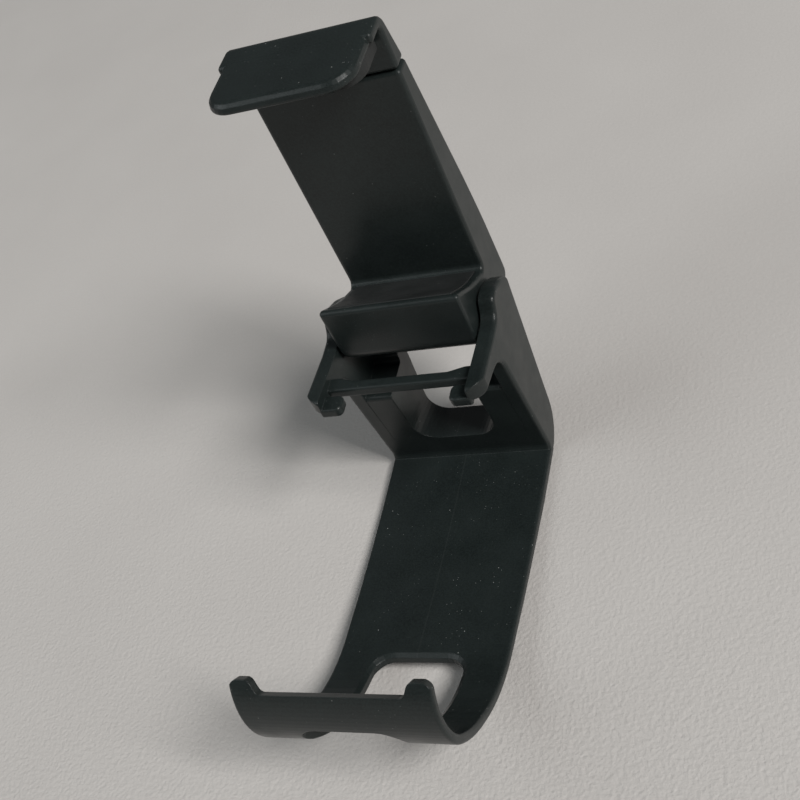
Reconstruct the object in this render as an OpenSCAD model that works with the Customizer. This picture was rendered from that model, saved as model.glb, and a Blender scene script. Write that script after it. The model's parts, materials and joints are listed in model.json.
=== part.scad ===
// Controller phone clip: a C-shaped bracket that grips a game controller, with a
// tilting, spring-loaded phone holder hinged between the bracket's two cheeks.
// Units are millimetres. +X runs across the clip, +Y towards the holder's back,
// +Z up from the surface that the bracket's wall lies on. The origin is the
// centre of the footprint.

/* [Bracket] */
// width of the whole bracket
bracket_w = 38; // [34:0.5:46]
// thickness of the curved wall
wall_t = 2.2; // [1.8:0.1:3]
// thickness at the hook's end, to which the wall thins out
wall_end_t = 1.8; // [1.4:0.1:2.2]
// how far each side of the wall draws in between the crease and the hook
waist = 0.8; // [0:0.1:1.2]
// rounding along the wall's long edges
wall_edge_r = 0.6; // [0.3:0.1:0.8]
// inner radius of the long, nearly straight bend under the controller
long_bend_r = 430; // [300:10:600]
// angle of the long bend
long_bend_a = 6.6; // [5:0.1:8]
// inner radius of the bend into the hook
mid_bend_r = 35.5; // [30:0.5:40]
// angle of the bend into the hook
mid_bend_a = 51.3; // [48:0.1:56]
// inner radius of the hook's mouth
hook_bend_r = 13.9; // [12:0.1:15]
// angle of the hook's mouth
hook_bend_a = 73.6; // [60:0.2:78]
// height of the two end tabs above the lip between them
tab_h = 2.9; // [2:0.1:5]
// half width of the lip between the tabs, at its foot
tab_gap = 13.7; // [10:0.1:14.5]

/* [Bracket windows] */
// width of the lower window and of the slot in the shoulder
window_w = 19.6; // [14:0.1:22]
// distance along the wall from the crease to the lower window
window_start = 52.5; // [50:0.1:56]
// length of the lower window along the wall and into the hook
window_len = 36.4; // [28:0.1:38]
// corner radius of the lower window
window_r = 4.2; // [2:0.1:5]
// width and depth of the bevel around the lower window
window_bevel = [0.9, 0.6]; // [0.4:0.1:1.6]
// width of the shoulder's slot
slot_w = 19; // [14:0.1:20]
// corner radius of the shoulder's slot
slot_r = 5; // [3:0.5:7]

/* [Cheeks and arms] */
// thickness of each cheek and arm
cheek_t = 3.3; // [2.6:0.1:4]
// rounding along the cheeks' outer edges
cheek_edge_r = 0.8; // [0.4:0.1:1]
// outer radius of the corner where the wall turns into the shoulder
shoulder_r = 8.5; // [6:0.5:10]
// rounding under the shoulder's middle block, which stands on the floor
block_r = 4.5; // [3:0.5:8]
// length of the flat foot under the wall, in front of the crease
foot_flat = 13; // [8:0.5:20]
// height of the shoulder's end above the crease
shoulder_h = 23.5; // [18:0.5:26]
// lowest point of the arms, measured down from the crease
arm_drop = 17.3; // [16:0.1:22]
// reach of each foot inwards from the arm
foot_reach = 4.1; // [2:0.1:6]

/* [Phone holder] */
// gap between the holder and each cheek, where the friction washer sits
side_gap = 0.6; // [0.5:0.05:1]
// height of the hinge axis above the crease
hinge_z = 36.5; // [34:0.5:38]
// distance of the hinge axis behind the crease
hinge_y = 7.5; // [6:0.5:9]
// radius of the hinge pins
pin_r = 1.5; // [1.2:0.1:2]
// front face of the panel behind the crease
panel_y = 14.2; // [13:0.1:16]
// height of the seam between the holder and its slider
seam_z = 90.4; // [84:0.1:96]
// thickness of the panel's front wall
panel_t = 1.2; // [1:0.1:1.6]
// thickness of the back cover
cover_t = 1.4; // [1.2:0.1:1.8]
// thickness of the holder's side walls
side_t = 2; // [1.6:0.1:2.6]
// rounding along the holder's edges
holder_edge_r = 0.8; // [0.4:0.1:1]

/* [Slider and jaw] */
// seam gap between the holder and the closed slider
seam_gap = 0.3; // [0.2:0.05:0.5]
// how far the jaw slides up
jaw_travel = 30; // [20:1:30]
// top face of the jaw above the crease
jaw_top = 101.5; // [96:0.5:108]
// thickness of the jaw
jaw_t = 2.1; // [1.8:0.1:3]
// how far the jaw reaches in front of the crease
jaw_reach = 3.4; // [2:0.1:5]
// radius of the jaw's two free corners
jaw_r = 5.2; // [3:0.5:7]
// rounding along the upper edges of the jaw
jaw_edge_r = 1.5; // [0.8:0.1:1.6]
// thickness of the rubber pad under the jaw
jaw_pad_t = 2.8; // [1:0.1:3]
// how far the pad stays behind the jaw's free edge
jaw_pad_back = 5; // [3:0.1:6]
// thickness of the slider's tongue
tongue_t = 1.3; // [1:0.1:1.6]
// width of the slider's tongue
tongue_w = 15; // [12:0.5:16]
// clearance around the tongue
slide_gap = 0.3; // [0.2:0.05:0.4]

/* [Springs] */
// wire of the two return springs
wire_d = 0.5; // [0.4:0.05:0.5]
// outer diameter of the springs
spring_d = 2; // [1.8:0.1:2.1]
// turns of each spring
spring_turns = 14; // [10:1:20]
// distance of each spring from the middle
spring_x = 9.6; // [9:0.1:10]

/* [Hidden] */

$fn = 48;
cut = 1;
arc_step = 12;
rim_steps = 3;

half_w = bracket_w / 2;
cheek_in = half_w - cheek_t;
holder_x = cheek_in - side_gap;
crease_z = -1.05;
floor_z = crease_z - wall_t;
wall_root = 2.05;
back_y = 24.6;
bends = [[long_bend_r, long_bend_a], [mid_bend_r, mid_bend_a], [hook_bend_r, hook_bend_a]];

// The top side and the underside of the shoulder both lean, so it widens upwards.
top_lean = 7.1;
top_foot = 10.55;
under_lean = 7.2;
under_foot = 1.0;
function top_y(z) = top_foot + (z - 4.2) * tan(top_lean);
function under_y(z) = under_foot - (z - crease_z) * tan(under_lean);

cavity_y = panel_y + panel_t;
tongue_y = cavity_y + slide_gap;
tongue_back = tongue_y + tongue_t;
end_wall = 1.5;
cavity_top = seam_z - end_wall;
cavity_x = holder_x - side_t;
ledge = 1;
tongue_low = 44;
lug_h = 3;
lug_z = cavity_top - jaw_travel - lug_h / 2 - slide_gap;
lug_thin = 0.55;
post_r = 0.6;
post_z = 38.5;
post_over = 0.7;
spring_y = cavity_y + spring_d / 2 + 0.25;
screw_x = 4.4;
screw_z = 38.5;
screw_r = 0.9;
screw_head_r = 1.9;
pin_head_r = 2.6;
pin_head_t = 0.8;
pin_start = 10.8;
pin_end = half_w - 1.4;
washer_t = 0.3;
washer_r = 2.8;
wall_len = bend_len(0) + bend_len(1) + bend_len(2);
front_y = min([for (p = wall_line(wall_t, wall_end_t, 0)) p[0]]);
shift_y = -(front_y + back_y) / 2;

// Where the wall's inner face stands after a number of bends: [y, z, heading].
function wall_at(count) = count == 0 ? [0, crease_z, 0] :
    let (p = wall_at(count - 1), r = bends[count - 1][0], a = p[2] + bends[count - 1][1])
    [p[0] - r * (sin(a) - sin(p[2])), p[1] + r * (cos(p[2]) - cos(a)), a];
function hook_centre() = let (p = wall_at(2)) [p[0] + hook_bend_r * sin(p[2]), p[1] + hook_bend_r * cos(p[2])];

function unit(v) = v / norm(v);
function turned(v, a) = [v[0] * cos(a) - v[1] * sin(a), v[0] * sin(a) + v[1] * cos(a)];
function flat(lists) = [for (list = lists) for (item = list) item];

// One filleted corner of a closed outline, moved inwards by an inset.
function corner(before, p, after, r, inset) =
    let (u = unit(before - p), v = unit(after - p),
         half = acos(u * v) / 2,
         side = u[0] * v[1] - u[1] * v[0] < 0 ? 1 : -1,
         centre = p + unit(u + v) * (r / sin(half)),
         start = unit(p + u * (r / tan(half)) - centre),
         sweep = side * (180 - 2 * half),
         count = max(1, ceil(abs(sweep) / arc_step)))
    [for (k = [0:count]) centre + (r - side * inset) * turned(start, sweep * k / count)];

// Corner points [x, y, fillet radius], anticlockwise, to a closed outline.
function outline(points, inset = 0) =
    let (n = len(points), at = [for (p = points) [p[0], p[1]]])
    flat([for (i = [0:n - 1]) corner(at[(i + n - 1) % n], at[i], at[(i + 1) % n], points[i][2], inset)]);

// A place on the wall, a distance along its inner face and a depth below it: [y, z].
function bend_len(i) = bends[i][0] * bends[i][1] * PI / 180;
function on_wall(run, depth, i = 0) = run > bend_len(i) && i < len(bends) - 1 ?
    on_wall(run - bend_len(i), depth, i + 1) :
    let (p = wall_at(i), r = bends[i][0], a = p[2] + run / r * 180 / PI)
    [p[0] + r * sin(p[2]) - (r + depth) * sin(a), p[1] + r * cos(p[2]) - (r + depth) * cos(a)];

// The wall's side view: one line along its bends, at a depth that changes evenly
// from the crease to the hook's end. The third number is the share of the way.
// The underside is flat at first, so that the clip stands firmly.
function wall_line(depth, end_depth, inset) = concat(
    [[wall_root, crease_z - depth - inset, 0], [0, crease_z - depth - inset, 0]],
    flat([for (i = [0:len(bends) - 1])
        let (before = i == 0 ? 0 : i == 1 ? bend_len(0) : bend_len(0) + bend_len(1),
             steps = max(4, ceil(bends[i][1] / 4)))
        [for (k = [1:steps])
            let (run = before + bend_len(i) * k / steps, share = run / wall_len,
                 p = on_wall(run - 0.0001, depth + (end_depth - depth) * share + inset))
            [p[0], depth > 0 && p[0] > -foot_flat ? crease_z - depth - inset : p[1], share]]]));
function reversed(list) = [for (i = [len(list) - 1:-1:0]) list[i]];
function wall_outline(inset) = concat(wall_line(0, 0, inset), reversed(wall_line(wall_t, wall_end_t, -inset)));
function drawn_in(share) = lookup(share, [[0, 0], [0.5, waist], [0.7, waist], [0.87, 0], [1, 0]]);

// Rings [height, inset] that round the rim of a slab.
function rim(height, r, dir) = [for (k = [0:rim_steps])
    let (a = 90 * k / rim_steps) [height - dir * r * (1 - sin(a)), r * (1 - cos(a))]];
function low_rim(height, r) = let (ring = rim(height, r, -1)) [for (k = [rim_steps:-1:0]) ring[k]];

// Cuts an outline that may bend inwards into triangles: of the corners that can be
// cut off, the one with the shortest cut goes first.
function within(p, a, b, c) = cross(b - a, p - a) >= 0 && cross(c - b, p - b) >= 0 && cross(a - c, p - c) >= 0;
function is_ear(pts, ids, i) =
    let (n = len(ids), a = pts[ids[(i + n - 1) % n]], b = pts[ids[i]], c = pts[ids[(i + 1) % n]])
    len([for (k = ids) if (pts[k] != a && pts[k] != b && pts[k] != c && within(pts[k], a, b, c)) k]) == 0;
function shortest_ear(pts, ids, above = 0) =
    let (n = len(ids), none = 1e6,
         cuts = [for (i = [0:n - 1])
             let (a = pts[ids[(i + n - 1) % n]], b = pts[ids[i]], c = pts[ids[(i + 1) % n]])
             cross(b - a, c - b) > 0 && norm(c - a) > above ? norm(c - a) : none],
         best = min(cuts), i = search(best, cuts)[0])
    best == none ? 0 : is_ear(pts, ids, i) ? i : shortest_ear(pts, ids, best);
function triangles(pts, ids, done = []) = len(ids) < 4 ? concat(done, [ids]) :
    let (i = shortest_ear(pts, ids), n = len(ids))
    triangles(pts, [for (k = [0:n - 1]) if (k != i) ids[k]],
              concat(done, [[ids[(i + n - 1) % n], ids[i], ids[(i + 1) % n]]]));

// A closed solid through one outline after another. shape(inset) is the outline of
// a ring [height, inset], and place puts its points where they belong. A ladder has
// its points in pairs, first and last, so it can bend: its faces are all triangles.
module ring_solid(shape, rings, place, ladder = false) {
    n = len(shape(0));
    corners = flat([for (ring = rings) [for (p = shape(ring[1])) place(p, ring[0])]]);
    last = (len(rings) - 1) * n;
    cap = ladder ? halved([for (j = [0:n / 2 - 2]) [j, j + 1, n - 2 - j, n - 1 - j]]) :
        triangles(shape(rings[0][1]), [for (j = [0:n - 1]) j]);
    sides = [for (i = [0:len(rings) - 2]) for (j = [0:n - 1])
        let (k = (j + 1) % n) [i * n + j, (i + 1) * n + j, (i + 1) * n + k, i * n + k]];
    polyhedron(corners, concat(cap, [for (t = cap) [last + t[2], last + t[1], last + t[0]]],
        ladder ? halved(sides) : sides));
}
function halved(quads) = flat([for (q = quads) [[q[0], q[1], q[2]], [q[0], q[2], q[3]]]]);

// A slab from one height to another with rounded rims. shape(inset) is its outline.
module soft_slab(shape, low, high, low_r, high_r, place = function (p, h) [p[0], p[1], h], ladder = false) {
    ring_solid(shape, concat(low_r > 0 ? low_rim(low, low_r) : [[low, 0]],
                             high_r > 0 ? rim(high, high_r, 1) : [[high, 0]]), place, ladder);
}

// Puts an outline drawn in Y and Z up along X.
module along_x() {
    rotate([90, 0, 90]) children();
}

// Cuts straight through along Y what is drawn in X and Z.
module along_y() {
    rotate([90, 0, 0]) children();
}

module rod_x(x0, x1, r) {
    translate([x0, hinge_y, hinge_z]) rotate([0, 90, 0]) cylinder(r = r, h = x1 - x0);
}

module both_sides() {
    children();
    mirror([1, 0, 0]) children();
}

module set_down() {
    translate([0, shift_y, -floor_z]) children();
}

// The wall and the hook: three bends that run smoothly into each other.
module curved_wall() {
    along_x() soft_slab(function (inset) wall_outline(inset), -half_w, half_w, wall_edge_r, wall_edge_r,
        function (p, x) [p[0], p[1], x * (1 - drawn_in(p[2]) / half_w)], true);
}

// What the hook's end loses: the lip between the tabs and the tabs' outer corners.
// The cuts start a little beyond the end, so that they meet its faces at an angle.
module hook_end_cut() {
    p = wall_at(3);
    ease = 0.12;
    slope = 1.3;
    corner_r = 2.4;
    translate([0, p[0], p[1]]) rotate([-p[2], 0, 0]) translate([0, 0, -2 * wall_t]) linear_extrude(5 * wall_t) {
        polygon(outline([[-half_w - cut, -2 * cut, 0.1], [half_w + cut, -2 * cut, 0.1],
            [half_w + cut, -ease, 0.1], [tab_gap + slope, -ease, 1.7], [tab_gap, tab_h, 1.2],
            [-tab_gap, tab_h, 1.2], [-tab_gap - slope, -ease, 1.7], [-half_w - cut, -ease, 0.1]]));
        both_sides() difference() {
            translate([half_w - corner_r, -cut]) square([corner_r + cut, corner_r + cut]);
            translate([half_w - corner_r + ease, corner_r - ease]) circle(corner_r);
        }
    }
}

// The lower window follows the wall round into the hook. It is drawn as if the wall
// were flat, from its low end up the right side, and then laid along the wall's bends.
function window_side(inset) =
    let (x = window_w / 2 - window_r, r = window_r - inset, steps = ceil((window_len - 2 * window_r) / 2.5),
         low = -window_start - window_len + window_r, high = -window_start - window_r)
    concat([for (a = [-90:15:0]) [x + r * cos(a), low + r * sin(a)]],
           [for (k = [1:steps - 1]) [x + r, low + (high - low) * k / steps]],
           [for (a = [0:15:90]) [x + r * cos(a), high + r * sin(a)]]);
module lower_window_cut() {
    wide = -window_bevel[0];
    ring_solid(function (inset) concat(window_side(inset), [for (p = reversed(window_side(inset))) [-p[0], p[1]]]),
        [[-wall_t - cut, 0], [-window_bevel[1], 0], [0, wide], [cut, wide]],
        function (p, h) let (q = on_wall(-p[1], -h)) [p[0], q[0], q[1]], true);
}

// Cheek, hinge ear and arm in one outline, drawn in Y and Z.
cheek_outline = [
    [0.4, floor_z, 1.2], [top_y(floor_z), floor_z, shoulder_r], [top_y(38.8), 38.8, 1.6],
    [11.2, 41.3, 5], [6.9, 43.1, 5], [4.1, 43.0, 2], [1.9, 39.5, 3], [-3.2, 39.3, 8],
    [-arm_drop, 40.2, 1.2], [-arm_drop, 36.9, 1.2], [-9.6, 35.6, 6], [under_y(34.8), 34.2, 6],
    [under_y(crease_z + 1), crease_z + 1, 3], [0.4, crease_z, 1]];

shoulder_outline = [
    [0.4, floor_z, 0.6], [top_y(floor_z), floor_z, block_r], [top_y(26), 26, 1],
    [8.4, 26, 1], [8.4, shoulder_h, 0.8], [under_y(shoulder_h), shoulder_h, 1],
    [under_y(crease_z + 1), crease_z + 1, 3], [0.4, crease_z, 0.6]];

module cheek() {
    along_x() soft_slab(function (inset) outline(cheek_outline, inset), cheek_in, half_w, 0, cheek_edge_r);
}

// The arms' tips are round when seen from the front.
module arm_tip_cut() {
    r = 5;
    ease = 0.15;
    translate([half_w - r, -arm_drop + r, 30]) difference() {
        translate([0, -r - cut, 0]) cube([r + cut, r + cut, 14]);
        translate([ease, -ease, -cut]) cylinder(r = r, h = 14 + 2 * cut);
    }
}

module foot() {
    x = cheek_in - foot_reach;
    points = [[x, -arm_drop, 1.2], [cheek_in + 0.6, -arm_drop, 0.5], [cheek_in + 0.6, -13.3, 0.5],
        [x, -13.3, 1.2]];
    soft_slab(function (inset) outline(points, inset), 35.7, 37.9, 0.5, 0.5);
}

// A slim bar between the arms whose upper edge swells towards its ends.
module crossbar() {
    end = cheek_in + 0.4;
    points = [[-end, -12.1, 0.6], [end, -12.1, 0.6], [end, -8.6, 0.6], [13.6, -8.6, 2.5],
        [10.2, -9.6, 2.5], [-10.2, -9.6, 2.5], [-13.6, -8.6, 2.5], [-end, -8.6, 0.6]];
    soft_slab(function (inset) outline(points, inset), 35.7, 38, 0.5, 0.5);
}

// The slot in the shoulder leans with the block and is open towards the holder.
module slot_cut() {
    half = slot_w / 2;
    translate([0, 5, 5.25]) rotate([-11.8, 0, 0]) along_y() translate([0, 0, -20]) linear_extrude(40)
        polygon(outline([[-half, 0, slot_r], [half, 0, slot_r], [half, 40, 1], [-half, 40, 1]]));
}

// Coring in the two blocks beside the slot, open on the side away from the hook.
module coring_cut() {
    both_sides() translate([slot_w / 2 + 2.4, 2.4, 4.5]) cube([cheek_in - slot_w / 2 - 2.4, 20, 15]);
}

module bracket() color("#26292a") set_down() {
    difference() {
        union() {
            difference() {
                curved_wall();
                hook_end_cut();
                lower_window_cut();
            }
            difference() {
                along_x() translate([0, 0, -cheek_in - 0.2]) linear_extrude(2 * cheek_in + 0.4)
                    polygon(outline(shoulder_outline));
                slot_cut();
                coring_cut();
            }
            both_sides() {
                difference() {
                    cheek();
                    arm_tip_cut();
                }
                foot();
            }
            crossbar();
        }
        both_sides() rod_x(cheek_in - cut, pin_end + 0.3, pin_r + 0.05);
    }
}

// The holder's shell, drawn in Y and Z.
back_low = [back_y, 40];
back_mid = [23.3, 56];
back_top = [18.8, seam_z];
shelf_low = [panel_y, 41.8];
shelf_mid = [6.6, 45.0];
lip_top = [-2.3, 50.9];
body_outline = [
    [0.8, 33.8, 3], [back_y, 30.3, 2.2], [back_low[0], back_low[1], 150], [back_mid[0], back_mid[1], 150],
    [back_top[0], back_top[1], 0.85], [panel_y, seam_z, 0.85], [shelf_low[0], shelf_low[1], 1.2],
    [shelf_mid[0], shelf_mid[1], 20], [lip_top[0], lip_top[1], 0.9], [-2.1, 37.2, 4]];

// Height at which the back cover starts and its corner points.
cover_low = 34;
cover_high = cavity_top - 0.1;
cover_end = back_top[0] + (seam_z - cover_high) * (back_mid[0] - back_top[0]) / (seam_z - back_mid[1]);
function cover_outline(gap, out) = [
    [back_low[0] - cover_t, cover_low - gap, 0.2], [back_y + out, cover_low - gap, 0.2],
    [back_low[0] + out, back_low[1], 150], [back_mid[0] + out, back_mid[1], 150],
    [cover_end + out, cover_high + gap, 0.2], [cover_end - cover_t, cover_high + gap, 0.2],
    [back_mid[0] - cover_t, back_mid[1], 150], [back_low[0] - cover_t, back_low[1], 150]];

// The cover, or the recess for it, which has a gap all round and is open to the back.
module cover_space(gap, out) {
    along_x() translate([0, 0, -cavity_x - gap]) linear_extrude(2 * (cavity_x + gap))
        polygon(outline(cover_outline(gap, out)));
}

// The shelf's rubber sheet lies in a recess that follows the concave shelf.
pad_sink = 0.9;
pad_rise = 0.25;
shelf_pad_outline = [
    [shelf_low[0] - 0.9, shelf_low[1] + 0.45 - pad_sink, 0.3], [shelf_low[0] - 0.9, shelf_low[1] + 0.45 + pad_rise, 0.3],
    [shelf_mid[0], shelf_mid[1] + pad_rise, 20], [lip_top[0] + 1.6, lip_top[1] - 1.05 + pad_rise, 0.3],
    [lip_top[0] + 1.6, lip_top[1] - 1.05 - pad_sink, 0.3], [shelf_mid[0], shelf_mid[1] - pad_sink, 20]];
shelf_pad_x = holder_x - 1.7;

module shelf_pad_shape() {
    along_x() translate([0, 0, -shelf_pad_x]) linear_extrude(2 * shelf_pad_x) polygon(outline(shelf_pad_outline));
}

// The room under the shelf, open downwards.
module underside_cut() {
    along_x() translate([0, 0, -pin_start]) linear_extrude(2 * pin_start)
        polygon(outline([[0.1, 28, 0.3], [panel_y - 1.4, 28, 0.3], [panel_y - 1.4, 39.6, 1],
            [shelf_mid[0], shelf_mid[1] - 2.6, 20], [0.1, 46.2, 0.8]]));
}

module inner_cavity() {
    x = cavity_x - ledge;
    along_x() translate([0, 0, -x]) linear_extrude(2 * x)
        polygon(outline([[cavity_y, 35, 0.5], [back_low[0] - cover_t + 0.4, 35, 0.5],
            [back_low[0] - cover_t + 0.4, back_low[1], 150], [back_mid[0] - cover_t + 0.4, back_mid[1], 150],
            [cover_end - cover_t + 0.4, cavity_top, 0.2], [cavity_y, cavity_top, 0.5]]));
}

module holder_posts() {
    both_sides() translate([spring_x, cavity_y - 0.4, post_z]) rotate([-90, 0, 0])
        cylinder(r = post_r, h = spring_y + post_over - cavity_y + 0.4);
    for (s = [-1, 1]) translate([s * screw_x, cavity_y - 0.4, screw_z]) rotate([-90, 0, 0])
        cylinder(r = 2.1, h = back_low[0] - cover_t - cavity_y + 0.4);
}

module holder_body() color("#232627") set_down() {
    difference() {
        union() {
            difference() {
                along_x() soft_slab(function (inset) outline(body_outline, inset),
                    -holder_x, holder_x, holder_edge_r, holder_edge_r);
                inner_cavity();
                underside_cut();
                shelf_pad_shape();
                translate([-tongue_w / 2 - slide_gap, cavity_y, cavity_top - cut])
                    cube([tongue_w + 2 * slide_gap, tongue_t + 2 * slide_gap, end_wall + 2 * cut]);
            }
            holder_posts();
        }
        cover_space(0.1, cut);
        both_sides() rod_x(pin_start - cut, holder_x + cut, pin_r);
        for (s = [-1, 1]) translate([s * screw_x, back_y - 6.2, screw_z]) rotate([-90, 0, 0])
            cylinder(r = screw_r, h = 8);
    }
}

module back_cover() color("#202324") set_down() {
    difference() {
        cover_space(0, 0);
        for (s = [-1, 1]) translate([s * screw_x, back_y - cover_t - cut, screw_z]) rotate([-90, 0, 0]) {
            cylinder(r = screw_r + 0.15, h = cover_t + 2 * cut);
            translate([0, 0, cut + cover_t - 1.0]) cylinder(r1 = screw_r + 0.15, r2 = screw_head_r + 0.1, h = 1.01);
        }
    }
}

module shelf_pad() color("#2c2f30") set_down() {
    shelf_pad_shape();
}

module hinge_pin() {
    rod_x(pin_start - pin_head_t, pin_start, pin_head_r);
    rod_x(pin_start - 0.1, pin_end, pin_r);
}

module hinge_pin_left() color("#9a9ea2") set_down() {
    mirror([1, 0, 0]) hinge_pin();
}

module hinge_pin_right() color("#9a9ea2") set_down() {
    hinge_pin();
}

module friction_washer() {
    difference() {
        rod_x(holder_x, holder_x + washer_t, washer_r);
        rod_x(holder_x - cut, holder_x + washer_t + cut, pin_r + 0.1);
    }
}

module friction_washer_left() color("#d8d6cf") set_down() {
    mirror([1, 0, 0]) friction_washer();
}

module friction_washer_right() color("#d8d6cf") set_down() {
    friction_washer();
}

// A return spring in one run of wire: an eye round the lower post, the coil, which
// opens out from the middle and closes again, and an eye round the upper post.
module return_spring() {
    eye_r = post_r + 0.15 + wire_d / 2;
    coil_r = (spring_d - wire_d) / 2;
    shank = 0.5;
    low = post_z + eye_r + shank;
    high = lug_z - eye_r - shank;
    whole = 360 * spring_turns;
    path = concat([for (a = [-300:20:-20]) [eye_r * sin(a), 0, post_z + eye_r * cos(a)]],
        [for (a = [0:24:whole]) let (r = coil_r * min(1, a / 240, (whole - a) / 240))
            [r * cos(a), r * sin(a), low + (high - low) * a / whole]],
        [for (a = [20:20:300]) [-eye_r * sin(a), 0, lug_z - eye_r * cos(a)]]);
    n = len(path);
    along = [for (i = [0:n - 1]) unit(path[min(i + 1, n - 1)] - path[max(i - 1, 0)])];
    across = [for (i = 0, u = [0, 1, 0]; i < n; i = i + 1,
        u = i < n ? unit(u - (u * along[i]) * along[i]) : u) u];
    translate([spring_x, spring_y, 0]) ring_solid(function (inset) [for (a = [0:60:300]) [cos(a), sin(a)] * wire_d / 2],
        [for (i = [0:n - 1]) [i, 0]],
        function (p, i) path[i] + p[0] * across[i] + p[1] * cross(along[i], across[i]), true);
}

module spring_left() color("#b4b6b8") set_down() {
    mirror([1, 0, 0]) return_spring();
}

module spring_right() color("#b4b6b8") set_down() {
    return_spring();
}

module cover_screw() {
    head_h = 0.9;
    sunk = 0.1;
    translate([0, back_y - sunk, 0]) rotate([90, 0, 0]) difference() {
        union() {
            cylinder(r1 = screw_head_r, r2 = screw_r, h = head_h);
            cylinder(r = screw_r, h = 6);
        }
        for (a = [0, 90]) rotate(a) translate([0, 0, -cut + 0.5])
            cube([2.2, 0.5, 2 * cut - 1 + 0.9], center = true);
    }
}

module cover_screws() color("#8f9396") set_down() {
    for (s = [-1, 1]) translate([s * screw_x, 0, screw_z]) cover_screw();
}

head_foot = 18.7;
head_top = 16.3;
plate_back = 12.5;
plate_x = holder_x - 0.8;
plate_back_r = jaw_edge_r + 0.3;
blend = 0.02;
head_outline = [
    [panel_y, seam_z + seam_gap, 0.85], [head_foot, seam_z + seam_gap, 0.85], [head_top, jaw_top, 3.2],
    [9, jaw_top, 0.85], [9, jaw_top - jaw_t, 0.85], [panel_y, jaw_top - jaw_t, 1]];

// The tongue carries a thin lug on each side, with a post for the spring's eye.
module slider_jaw() color("#26292a") set_down() {
    plate = [[-plate_x, -jaw_reach, jaw_r], [plate_x, -jaw_reach, jaw_r], [plate_x, plate_back, plate_back_r],
        [-plate_x, plate_back, plate_back_r]];
    lug_x = cavity_x - ledge - slide_gap;
    along_x() soft_slab(function (inset) outline(head_outline, inset),
        -holder_x, holder_x, holder_edge_r, holder_edge_r);
    soft_slab(function (inset) outline(plate, inset), jaw_top - jaw_t + blend, jaw_top - blend, 0.4, jaw_edge_r);
    translate([-tongue_w / 2, tongue_y, tongue_low]) cube([tongue_w, tongue_t, seam_z + 2.4 - tongue_low]);
    translate([-lug_x, tongue_y, lug_z - lug_h / 2]) cube([2 * lug_x, lug_thin, lug_h]);
    both_sides() translate([spring_x, tongue_y + lug_thin / 2, lug_z]) rotate([-90, 0, 0])
        cylinder(r = post_r, h = spring_y + post_over - tongue_y - lug_thin / 2);
}

module jaw_pad() color("#2c2f30") set_down() {
    x = holder_x - 1.4;
    front = jaw_pad_back - jaw_reach;
    top = jaw_top - jaw_t;
    translate([0, 0, top - jaw_pad_t]) linear_extrude(jaw_pad_t)
        polygon(outline([[-x, front, 4.8], [x, front, 4.8], [x, panel_y - 0.8, 1], [-x, panel_y - 0.8, 1]]));
}

bracket();
holder_body();
back_cover();
shelf_pad();
hinge_pin_left();
hinge_pin_right();
friction_washer_left();
friction_washer_right();
spring_left();
spring_right();
cover_screws();
slider_jaw();
jaw_pad();
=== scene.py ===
"""Looks, light and camera for a controller phone clip of satin black plastic.

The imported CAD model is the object. This script gives each of its nodes a procedural
material, sets it on a pale grained floor under soft studio light, and places the
camera at the photograph's viewing angle.
"""
import json
import logging
from dataclasses import dataclass
from enum import Enum

import bpy
from mathutils import Matrix, Vector

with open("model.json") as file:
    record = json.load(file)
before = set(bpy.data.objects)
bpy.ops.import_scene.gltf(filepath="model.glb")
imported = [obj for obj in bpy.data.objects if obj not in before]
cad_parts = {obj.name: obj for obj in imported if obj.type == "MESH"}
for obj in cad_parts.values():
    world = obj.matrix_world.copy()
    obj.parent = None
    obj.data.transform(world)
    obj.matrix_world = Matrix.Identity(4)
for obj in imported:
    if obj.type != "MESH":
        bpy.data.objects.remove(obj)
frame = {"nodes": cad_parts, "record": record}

LOG = logging.getLogger("phone_clip")
MM = 0.001

Colour = tuple[float, float, float]


class Look(Enum):
    """The kinds of surface that the clip is made of."""

    PLASTIC = "body_plastic"
    RUBBER = "rubber"
    STEEL = "steel"
    NYLON = "nylon"


@dataclass(frozen=True)
class Finish:
    """What one moulded or drawn surface looks like.

    Attributes:
        colour: Base colour, linear.
        pale: Colour of dust, scuffs and worn edges, and of the highlight painted along the rounded edges, linear.
        roughness: Mean roughness.
        roughness_swing: How far the roughness wanders to each side.
        grain_mm: Size of the moulded grain.
        grain_um: Height of the grain in micrometres.
        edge_mm: Radius that the sharp edges are shaded with.
        edge_wear_and_highlight: Share of the pale colour along the edges, partly wear and partly a painted
            highlight on the rims.
        dust: Share of the pale colour in the dust specks.
        metallic: 1 for bare metal, 0 otherwise.
        ior: Index of refraction of the surface.
    """

    colour: Colour
    pale: Colour
    roughness: float
    roughness_swing: float
    grain_mm: float
    grain_um: float
    edge_mm: float
    edge_wear_and_highlight: float
    dust: float
    metallic: float = 0.0
    ior: float = 1.5


@dataclass(frozen=True)
class View:
    """The camera, in the model's frame and in metres."""

    place: Vector
    right: Vector
    up: Vector
    ahead: Vector
    lens_mm: float


@dataclass(frozen=True)
class Lamp:
    """One soft area light.

    Attributes:
        name: Name of the light.
        place: Where it stands, in metres.
        aim: The point that it faces.
        size: Width and height, in metres.
        watts: Its power.
        tint: Its colour.
    """

    name: str
    place: Colour
    aim: Colour
    size: tuple[float, float]
    watts: float
    tint: Colour = (1.0, 1.0, 1.0)


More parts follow.
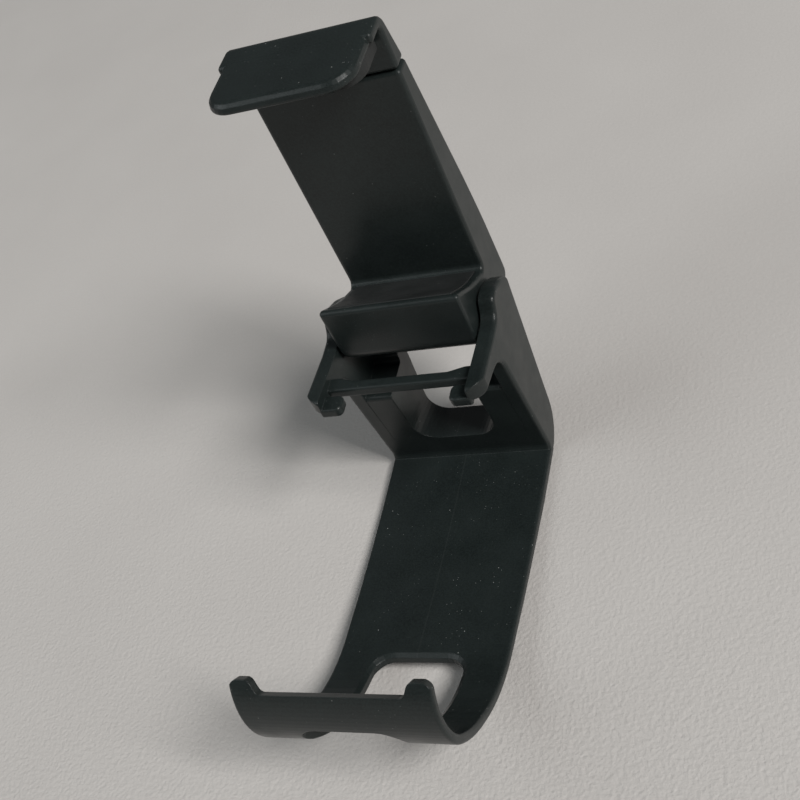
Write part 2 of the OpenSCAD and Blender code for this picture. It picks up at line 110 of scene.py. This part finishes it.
FINISHES: dict[Look, Finish] = {
    Look.PLASTIC: Finish(colour=(0.0108, 0.0146, 0.0142), pale=(0.30, 0.31, 0.30), roughness=0.35,
                         roughness_swing=0.05, grain_mm=0.36, grain_um=7.0, edge_mm=0.32,
                         edge_wear_and_highlight=0.05, dust=0.85, ior=1.39),
    Look.RUBBER: Finish(colour=(0.0115, 0.0130, 0.0128), pale=(0.22, 0.23, 0.22), roughness=0.62,
                        roughness_swing=0.08, grain_mm=0.35, grain_um=4.0, edge_mm=0.25,
                        edge_wear_and_highlight=0.05, dust=0.45, ior=1.45),
    Look.STEEL: Finish(colour=(0.52, 0.53, 0.54), pale=(0.75, 0.76, 0.77), roughness=0.28,
                       roughness_swing=0.08, grain_mm=0.12, grain_um=0.8, edge_mm=0.08,
                       edge_wear_and_highlight=0.25, dust=0.0, metallic=1.0),
    Look.NYLON: Finish(colour=(0.70, 0.68, 0.62), pale=(0.82, 0.81, 0.78), roughness=0.5,
                       roughness_swing=0.06, grain_mm=0.3, grain_um=2.0, edge_mm=0.08,
                       edge_wear_and_highlight=0.1, dust=0.0),
}

CAMERA = View(
    place=Vector((0.09289263, -0.12843877, 0.19623362)),
    right=Vector((0.91228222, 0.20167936, -0.35646400)),
    up=Vector((0.08129551, 0.76386596, 0.64023420)),
    ahead=Vector((-0.40141274, 0.61305320, -0.68046571)),
    lens_mm=52.4933,
)

LAMPS: tuple[Lamp, ...] = (
    Lamp("key", (2.50, -0.90, 2.50), (0.0, 0.02, 0.03), (1.20, 1.20), 128.0, (1.0, 0.985, 0.968)),
    Lamp("fill", (-1.15, -0.45, 1.10), (0.0, 0.0, 0.03), (1.20, 1.00), 7.5, (0.93, 0.98, 1.0)),
)


class Nodes:
    """A small helper that builds one node tree, with lengths in object space."""

    def __init__(self, material: bpy.types.Material) -> None:
        material.use_nodes = True
        self.tree = material.node_tree
        self.tree.nodes.clear()
        self.place = self.add("ShaderNodeTexCoord").outputs["Object"]

    def add(self, kind: str, **values: object) -> bpy.types.Node:
        """Adds a node.

        Args:
            kind: Blender's name of the node type.
            **values: Properties of the node to set.

        Returns:
            The new node.
        """
        node = self.tree.nodes.new(kind)
        for name, value in values.items():
            setattr(node, name, value)
        return node

    def link(self, source: bpy.types.NodeSocket, target: bpy.types.NodeSocket) -> None:
        """Joins an output to an input."""
        self.tree.links.new(source, target)

    def noise(self, size_m: float, detail: float = 2.0, stretch: Colour = (1.0, 1.0, 1.0)) -> bpy.types.NodeSocket:
        """Noise whose features are about one size across.

        Args:
            size_m: Feature size in metres.
            detail: Number of finer octaves.
            stretch: Scale along each axis, to draw the noise out.

        Returns:
            The noise's value, from 0 to 1.
        """
        spread = self.add("ShaderNodeMapping")
        spread.inputs["Scale"].default_value = stretch
        self.link(self.place, spread.inputs["Vector"])
        noise = self.add("ShaderNodeTexNoise")
        noise.inputs["Scale"].default_value = 1.0 / size_m
        noise.inputs["Detail"].default_value = detail
        self.link(spread.outputs["Vector"], noise.inputs["Vector"])
        return noise.outputs["Fac"]

    def remap(self, value: bpy.types.NodeSocket, low: float, high: float, out_low: float,
              out_high: float) -> bpy.types.NodeSocket:
        """Maps a range of values onto another and clamps it.

        Args:
            value: The value to map.
            low: Start of its range.
            high: End of its range.
            out_low: What the start becomes.
            out_high: What the end becomes.

        Returns:
            The mapped value.
        """
        node = self.add("ShaderNodeMapRange", clamp=True)
        for name, number in (("From Min", low), ("From Max", high), ("To Min", out_low), ("To Max", out_high)):
            node.inputs[name].default_value = number
        self.link(value, node.inputs["Value"])
        return node.outputs["Result"]

    def sum(self, kind: str, a: bpy.types.NodeSocket, b: bpy.types.NodeSocket | float) -> bpy.types.NodeSocket:
        """One step of arithmetic.

        Args:
            kind: The operation's name in Blender.
            a: The first value.
            b: The second value, another socket or a number.

        Returns:
            The result.
        """
        node = self.add("ShaderNodeMath", operation=kind)
        self.link(a, node.inputs[0])
        if isinstance(b, (int, float)):
            node.inputs[1].default_value = b
        else:
            self.link(b, node.inputs[1])
        return node.outputs["Value"]

    def blend(self, share: bpy.types.NodeSocket, a: bpy.types.NodeSocket | Colour,
              b: bpy.types.NodeSocket | Colour) -> bpy.types.NodeSocket:
        """Mixes two colours.

        Args:
            share: How much of the second colour shows.
            a: The first colour.
            b: The second colour.

        Returns:
            The mixed colour.
        """
        node = self.add("ShaderNodeMix", data_type="RGBA")
        self.link(share, node.inputs["Factor"])
        for socket, value in ((node.inputs[6], a), (node.inputs[7], b)):
            if isinstance(value, tuple):
                socket.default_value = (*value, 1.0)
            else:
                self.link(value, socket)
        return node.outputs[2]

    def specks(self, cell_m: float, radius_m: float, share: float) -> bpy.types.NodeSocket:
        """Small specks strewn at random, at most one in each cell.

        Args:
            cell_m: Size of a cell.
            radius_m: Radius of a speck.
            share: Share of the cells that hold one.

        Returns:
            1 on a speck and 0 elsewhere.
        """
        cells = self.add("ShaderNodeTexVoronoi", feature="F1")
        cells.inputs["Scale"].default_value = 1.0 / cell_m
        self.link(self.place, cells.inputs["Vector"])
        near = self.remap(cells.outputs["Distance"], radius_m / cell_m * 0.6, radius_m / cell_m, 1.0, 0.0)
        pick = self.add("ShaderNodeSeparateColor")
        self.link(cells.outputs["Color"], pick.inputs["Color"])
        chosen = self.sum("LESS_THAN", pick.outputs["Red"], share)
        return self.sum("MULTIPLY", near, chosen)


class Workshop:
    """Makes one material for each look and finishes the CAD nodes with them."""

    def __init__(self, record: dict) -> None:
        self.slots: dict[str, str] = {part["node"]: part["material_slot"] for part in record["subparts"]}

    def material(self, name: str, finish: Finish, brushed: bool = False, seam: bool = False) -> bpy.types.Material:
        """Builds a moulded or drawn surface.

        Args:
            name: The material's name.
            finish: What it looks like.
            brushed: Whether its grain is drawn out along X.
            seam: Whether a faint mould line runs down the middle of upward faces.

        Returns:
            The material.
        """
        material = bpy.data.materials.new(name)
        nodes = Nodes(material)
        shader = nodes.add("ShaderNodeBsdfPrincipled")
        shader.inputs["Metallic"].default_value = finish.metallic
        shader.inputs["IOR"].default_value = finish.ior

        stretch = (0.06, 1.0, 1.0) if brushed else (1.0, 1.0, 1.0)
        grain = nodes.noise(finish.grain_mm * MM, 2.0, stretch)
        cloud = nodes.noise(9.0 * MM, 3.0)
        handled = nodes.noise(2.6 * MM, 4.0)

        rounded = nodes.add("ShaderNodeBevel", samples=6)
        rounded.inputs["Radius"].default_value = finish.edge_mm * MM
        surface = nodes.add("ShaderNodeNewGeometry")
        turn = nodes.add("ShaderNodeVectorMath", operation="DOT_PRODUCT")
        nodes.link(rounded.outputs["Normal"], turn.inputs[0])
        nodes.link(surface.outputs["Normal"], turn.inputs[1])
        edge = nodes.remap(turn.outputs["Value"], 0.995, 0.8, 0.0, 1.0)
        # Pale rims along the rounded edges: partly worn plastic, partly a painted highlight where light catches
        # the edges.
        worn_and_highlit_edge = nodes.sum("MULTIPLY", edge, nodes.remap(handled, 0.42, 0.62, 0.25, 1.0))

        shade = nodes.remap(cloud, 0.3, 0.7, 0.0, 1.0)
        darker = tuple(channel * 0.82 for channel in finish.colour)
        lighter = tuple(min(1.0, channel * 1.18) for channel in finish.colour)
        colour = nodes.blend(shade, darker, lighter)
        colour = nodes.blend(nodes.remap(grain, 0.35, 0.65, 0.0, 0.45), colour, tuple(
            min(1.0, channel * 1.9) if finish.metallic < 0.5 else channel for channel in finish.colour))
        # Mixes the pale colour into the edges: part wear, part painted highlight on the rims.
        colour = nodes.blend(nodes.sum("MULTIPLY", worn_and_highlit_edge, finish.edge_wear_and_highlight), colour, finish.pale)
        rough = nodes.remap(cloud, 0.3, 0.7, finish.roughness - finish.roughness_swing,
                            finish.roughness + finish.roughness_swing)
        fine = nodes.remap(handled, 0.3, 0.7, -0.5 * finish.roughness_swing, 0.5 * finish.roughness_swing)
        rough = nodes.sum("ADD", rough, fine)
        if finish.dust > 0.0:
            drift = nodes.remap(nodes.noise(17.0 * MM, 2.0), 0.40, 0.62, 0.15, 1.0)
            motes = nodes.specks(2.3 * MM, 0.13 * MM, 0.45)
            powder = nodes.specks(0.85 * MM, 0.075 * MM, 0.5)
            facing = nodes.add("ShaderNodeSeparateXYZ")
            nodes.link(surface.outputs["Normal"], facing.inputs["Vector"])
            dust = nodes.sum("MAXIMUM", motes, nodes.sum("MULTIPLY", powder, drift))
            dust = nodes.sum("MULTIPLY", dust, nodes.remap(facing.outputs["Z"], -0.2, 0.7, 0.25, 1.0))
            colour = nodes.blend(nodes.sum("MULTIPLY", dust, finish.dust), colour, finish.pale)
            rough = nodes.sum("MAXIMUM", rough, nodes.sum("MULTIPLY", dust, 0.8))
        height = nodes.sum("MULTIPLY", grain, finish.grain_um * 1e-6)
        if seam:
            line = self.mould_line(nodes, surface.outputs["Normal"])
            colour = nodes.blend(nodes.sum("MULTIPLY", line, 0.018), colour, finish.pale)
            height = nodes.sum("ADD", height, nodes.sum("MULTIPLY", line, 6e-6))
        bump = nodes.add("ShaderNodeBump")
        bump.inputs["Strength"].default_value = 1.0
        bump.inputs["Distance"].default_value = 1.0
        nodes.link(height, bump.inputs["Height"])
        nodes.link(rounded.outputs["Normal"], bump.inputs["Normal"])

        nodes.link(colour, shader.inputs["Base Color"])
        nodes.link(rough, shader.inputs["Roughness"])
        nodes.link(bump.outputs["Normal"], shader.inputs["Normal"])
        output = nodes.add("ShaderNodeOutputMaterial")
        nodes.link(shader.outputs["BSDF"], output.inputs["Surface"])
        return material

    def mould_line(self, nodes: Nodes, normal: bpy.types.NodeSocket) -> bpy.types.NodeSocket:
        """A hairline down the middle of the wall, where the two mould halves met.

        Args:
            nodes: The tree to build it in.
            normal: The surface's normal.

        Returns:
            1 on the line and 0 elsewhere.
        """
        split = nodes.add("ShaderNodeSeparateXYZ")
        nodes.link(nodes.place, split.inputs["Vector"])
        off = nodes.sum("ABSOLUTE", nodes.sum("ADD", split.outputs["X"], 0.9 * MM), 0.0)
        line = nodes.remap(off, 0.06 * MM, 0.24 * MM, 1.0, 0.0)
        facing = nodes.add("ShaderNodeSeparateXYZ")
        nodes.link(normal, facing.inputs["Vector"])
        upward = nodes.remap(facing.outputs["Z"], 0.5, 0.8, 0.0, 1.0)
        low = nodes.remap(split.outputs["Z"], 14 * MM, 18 * MM, 1.0, 0.0)
        return nodes.sum("MULTIPLY", line, nodes.sum("MULTIPLY", upward, low))

    def finish_nodes(self, parts: dict[str, bpy.types.Object]) -> None:
        """Gives every CAD node the material of its slot.

        Args:
            parts: The CAD nodes by name.
        """
        made = {look.value: self.material(look.value, FINISHES[look], brushed=look is Look.STEEL) for look in Look}
        wall = self.material("bracket_plastic", FINISHES[Look.PLASTIC], seam=True)
        for name, part in parts.items():
            chosen = wall if name == "bracket" else made[self.slots[name]]
            part.data.materials.clear()
            part.data.materials.append(chosen)
            LOG.info("%s is finished as %s", name, chosen.name)


class Studio:
    """The floor, the lights and the camera."""

    def floor(self) -> None:
        """Lays a pale floor with a fine leathery grain."""
        mesh = bpy.data.meshes.new("floor")
        left, right, front, back = -3.5, 3.5, -3.5, 3.5
        mesh.from_pydata([(left, front, 0.0), (right, front, 0.0), (right, back, 0.0), (left, back, 0.0)],
                         [], [(0, 1, 2, 3)])
        floor = bpy.data.objects.new("floor", mesh)
        bpy.context.scene.collection.objects.link(floor)

        material = bpy.data.materials.new("floor_grain")
        nodes = Nodes(material)
        shader = nodes.add("ShaderNodeBsdfPrincipled")
        shader.inputs["Roughness"].default_value = 0.75
        shader.inputs["IOR"].default_value = 1.35
        cloud = nodes.noise(0.06, 3.0)
        pores = nodes.noise(0.75 * MM, 3.0)
        creases = nodes.add("ShaderNodeTexVoronoi", feature="SMOOTH_F1")
        creases.inputs["Scale"].default_value = 1.0 / (1.05 * MM)
        nodes.link(nodes.place, creases.inputs["Vector"])
        colour = nodes.blend(nodes.remap(cloud, 0.3, 0.7, 0.0, 1.0), (0.532, 0.509, 0.488), (0.563, 0.540, 0.518))
        colour = nodes.blend(nodes.remap(pores, 0.35, 0.65, 0.10, 0.0), colour, (0.40, 0.39, 0.37))
        height = nodes.sum("ADD", nodes.sum("MULTIPLY", creases.outputs["Distance"], 110e-6),
                           nodes.sum("MULTIPLY", pores, 220e-6))
        along = nodes.add("ShaderNodeSeparateXYZ")
        nodes.link(nodes.place, along.inputs["Vector"])
        height = nodes.sum("MULTIPLY", height, nodes.remap(along.outputs["Y"], -0.06, 0.08, 1.0, 0.22))
        bump = nodes.add("ShaderNodeBump")
        bump.inputs["Strength"].default_value = 1.0
        bump.inputs["Distance"].default_value = 1.0
        nodes.link(height, bump.inputs["Height"])
        nodes.link(colour, shader.inputs["Base Color"])
        nodes.link(bump.outputs["Normal"], shader.inputs["Normal"])
        output = nodes.add("ShaderNodeOutputMaterial")
        nodes.link(shader.outputs["BSDF"], output.inputs["Surface"])
        mesh.materials.append(material)

    def lamp(self, lamp: Lamp) -> None:
        """Hangs one area light.

        Args:
            lamp: Where it is and how strong.
        """
        data = bpy.data.lights.new(lamp.name, "AREA")
        data.shape = "RECTANGLE"
        data.size, data.size_y = lamp.size
        data.energy = lamp.watts
        data.color = lamp.tint
        light = bpy.data.objects.new(lamp.name, data)
        light.location = lamp.place
        facing = Vector(lamp.aim) - Vector(lamp.place)
        light.rotation_euler = facing.to_track_quat("-Z", "Y").to_euler()
        bpy.context.scene.collection.objects.link(light)

    def surroundings(self) -> None:
        """Fills the room with a plain, faint grey light."""
        world = bpy.data.worlds.new("room")
        world.use_nodes = True
        background = world.node_tree.nodes["Background"]
        background.inputs["Color"].default_value = (0.86, 0.90, 0.92, 1.0)
        background.inputs["Strength"].default_value = 0.10
        bpy.context.scene.world = world

    def camera(self, view: View) -> None:
        """Sets the camera at the photograph's viewing angle.

        Args:
            view: Where it stands and how it is turned.
        """
        data = bpy.data.cameras.new("camera")
        data.sensor_fit = "HORIZONTAL"
        data.sensor_width = 36.0
        data.lens = view.lens_mm
        data.clip_start = 0.005
        data.clip_end = 20.0
        camera = bpy.data.objects.new("camera", data)
        turn = Matrix((view.right, view.up, -view.ahead)).transposed().to_4x4()
        camera.matrix_world = Matrix.Translation(view.place) @ turn
        bpy.context.scene.collection.objects.link(camera)
        bpy.context.scene.camera = camera


def main() -> None:
    """Builds the whole scene."""
    logging.basicConfig(level=logging.INFO)
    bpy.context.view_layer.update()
    studio = Studio()
    studio.camera(CAMERA)
    studio.floor()
    studio.surroundings()
    for lamp in LAMPS:
        studio.lamp(lamp)
    Workshop(frame["record"]).finish_nodes(frame["nodes"])
    bpy.context.scene.view_settings.view_transform = "Standard"


if __name__ == "__main__":
    main()
